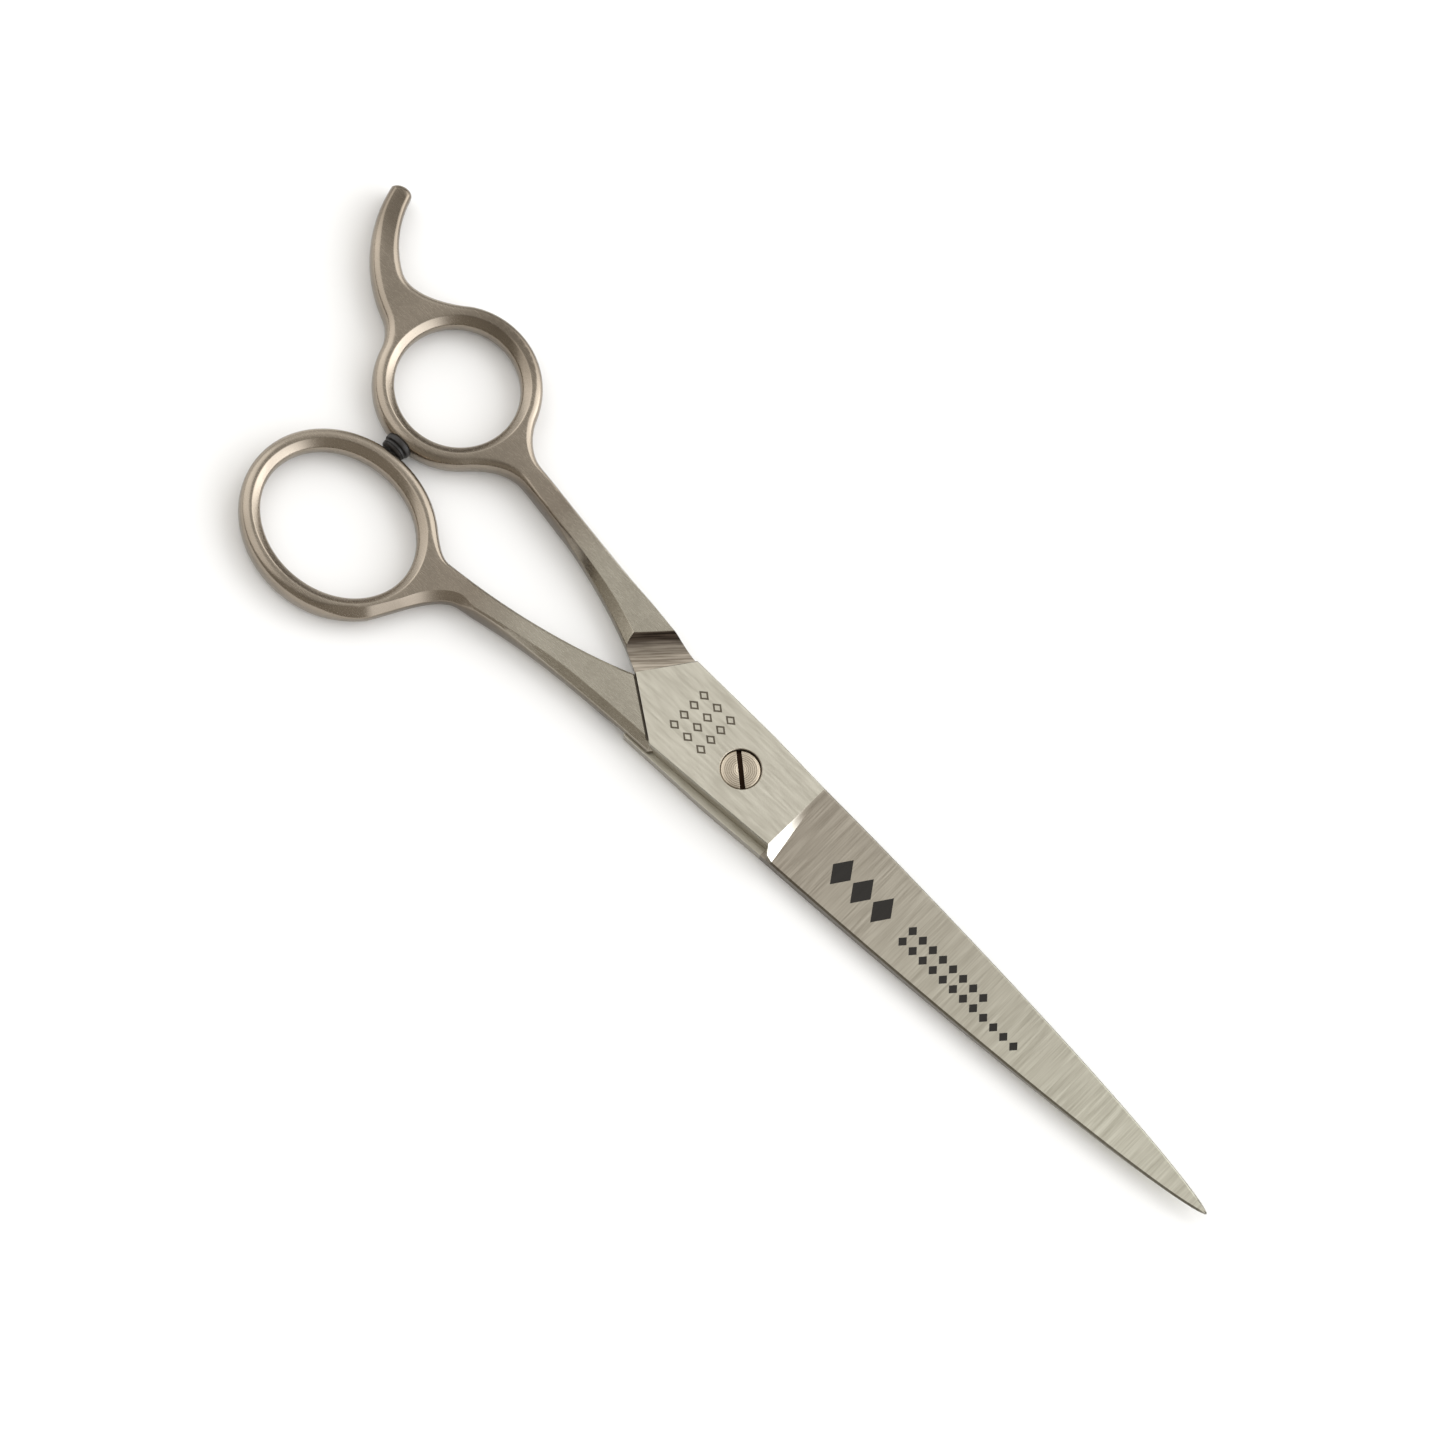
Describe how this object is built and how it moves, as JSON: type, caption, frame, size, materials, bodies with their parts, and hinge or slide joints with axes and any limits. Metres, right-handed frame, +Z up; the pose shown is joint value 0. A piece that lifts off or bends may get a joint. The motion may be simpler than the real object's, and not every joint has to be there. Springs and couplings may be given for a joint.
{
  "type": "hair cutting shears",
  "caption": "Barber's hair cutting shears lying flat and closed, two satin steel halves with a slotted pivot screw, a rubber bumper and a curved finger rest.",
  "frame": {"origin": "pivot axis, on the underside of the finger half, which lies on the table", "axes": "+X from the pivot towards the blade tips, +Y towards the finger ring side, +Z up out of the slotted screw head, along the pivot axis"},
  "size_m": [0.208, 0.0639, 0.005],
  "materials": {
    "satin_steel": "cross-ground blade faces, satin flats and softly polished handles in stainless cutlery steel",
    "screw_steel": "turned steel with a faint warm tint and a dark driver slot",
    "black_rubber": "moulded rubber with a slight gloss"
  },
  "bodies": {
    "finger_half": {"finger_half": "satin_steel", "bumper": "black_rubber", "bumper_stud": "screw_steel"},
    "thumb_half": {"thumb_half": "satin_steel"},
    "pivot_screw": {"pivot_screw": "screw_steel"}
  },
  "joints": [
    {"name": "blade_pivot", "type": "hinge", "parent": "finger_half", "child": "thumb_half", "pos_m": [0, 0, 0.0025], "axis": [0, 0, 1], "range_deg": [0, 90]},
    {"name": "tension_screw", "type": "hinge", "parent": "finger_half", "child": "pivot_screw", "pos_m": [0, 0, 0.0025], "axis": [0, 0, 1], "range_deg": [-45, 45]}
  ]
}
